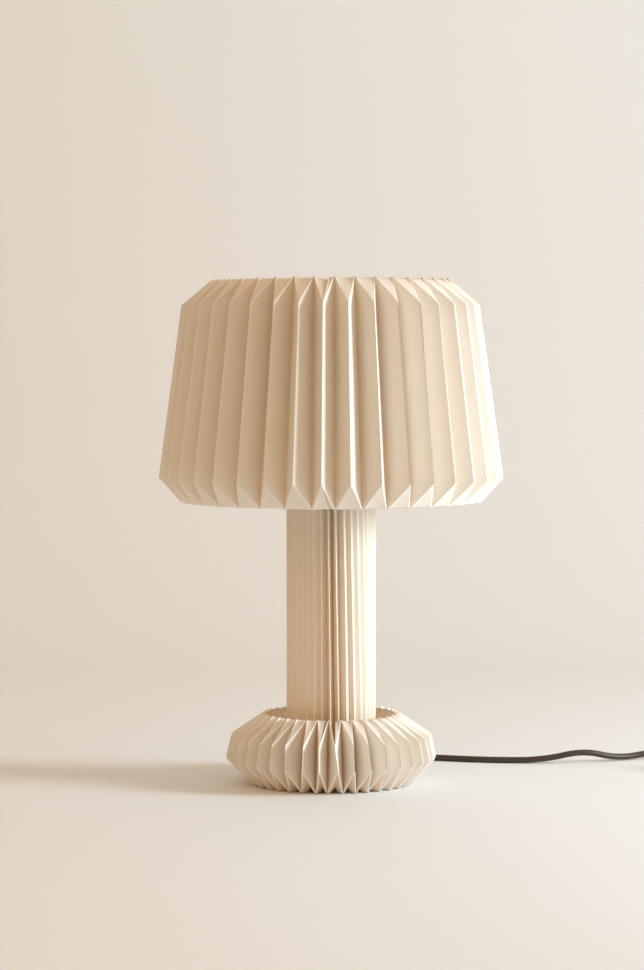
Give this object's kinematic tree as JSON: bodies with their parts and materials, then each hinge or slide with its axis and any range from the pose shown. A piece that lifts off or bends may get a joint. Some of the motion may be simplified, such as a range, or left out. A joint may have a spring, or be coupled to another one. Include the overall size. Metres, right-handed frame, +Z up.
{
  "type": "table lamp",
  "caption": "Table lamp of folded white paper: a pleated drum shade on a slim pleated column and a pleated ring foot, with a screw bulb, dark mains cord, inline switch and plug",
  "frame": {"origin": "on the lamp's axis, on the surface it stands on", "axes": "+Z up along the column; the front is -Y; the cord leaves at the back and runs to +X"},
  "size_m": [0.622, 0.3053, 0.43],
  "materials": {
    "paper": "matte",
    "paperboard": "matte",
    "felt": "felt",
    "iron": "matte",
    "wood": "raw",
    "steel": "zinc plated",
    "white_wire": "satin",
    "holder_plastic": "matte",
    "ceramic": "matte",
    "brass": "plain",
    "wire_insulation": "satin",
    "bulb_glass": "clear",
    "bulb_cap": "nickel plated",
    "black_glaze": "gloss",
    "phosphor": "matte",
    "cord_jacket": "satin",
    "cord_fittings": "satin",
    "rocker_plastic": "gloss",
    "plug_metal": "nickel plated"
  },
  "bodies": {
    "stand": {"felt_pad": "felt", "base_screws": "steel", "base_weight": "iron", "foot_disc": "wood", "foot_skin": "paper", "column_skin": "paper", "column_core": "paperboard", "column_cap": "paperboard", "head_disc": "wood", "threaded_nipple": "steel", "lock_nuts": "steel", "nut_washers": "steel", "holder_cover": "holder_plastic", "holder_sleeve": "holder_plastic", "holder_core": "ceramic", "centre_contact": "brass", "side_contact": "brass", "terminal_screws": "brass", "lead_wires": "wire_insulation", "inner_cord": "cord_jacket", "cord_bush": "cord_fittings", "cord_to_switch": "cord_jacket", "switch_base": "cord_fittings", "switch_cover": "cord_fittings", "switch_contacts": "brass", "switch_screws": "steel", "cord_to_coil": "cord_jacket", "cord_coil": "cord_jacket", "coil_tie": "cord_fittings", "cord_to_plug": "cord_jacket", "plug_body": "cord_fittings", "plug_pins": "plug_metal"},
    "carrier": {"shade_carrier": "white_wire"},
    "shade": {"shade_skin": "paper", "shade_low_ring": "white_wire", "shade_top_ring": "white_wire"},
    "bulb": {"bulb_glass": "bulb_glass", "bulb_cap": "bulb_cap", "bulb_insulator": "black_glaze", "bulb_contact": "bulb_cap", "bulb_stem": "bulb_glass", "bulb_filaments": "phosphor"},
    "rocker": {"switch_rocker": "rocker_plastic"}
  },
  "joints": [
    {"name": "shade_swivel", "type": "hinge", "parent": "stand", "child": "carrier", "pos_m": [0, 0, 0.2637], "axis": [0, 0, 1], "continuous": true},
    {"name": "shade_lift", "type": "slide", "parent": "carrier", "child": "shade", "axis": [0, 0, 1], "range_m": [0, 0.2]},
    {"name": "bulb_draw", "type": "slide", "parent": "stand", "child": "bulb", "axis": [0, 0, 1], "range_m": [0, 0.16]},
    {"name": "rocker_tilt", "type": "hinge", "parent": "stand", "child": "rocker", "pos_m": [0.343, 0.146, 0.0124], "axis": [0, 1, 0], "range_deg": [0, 14]}
  ]
}
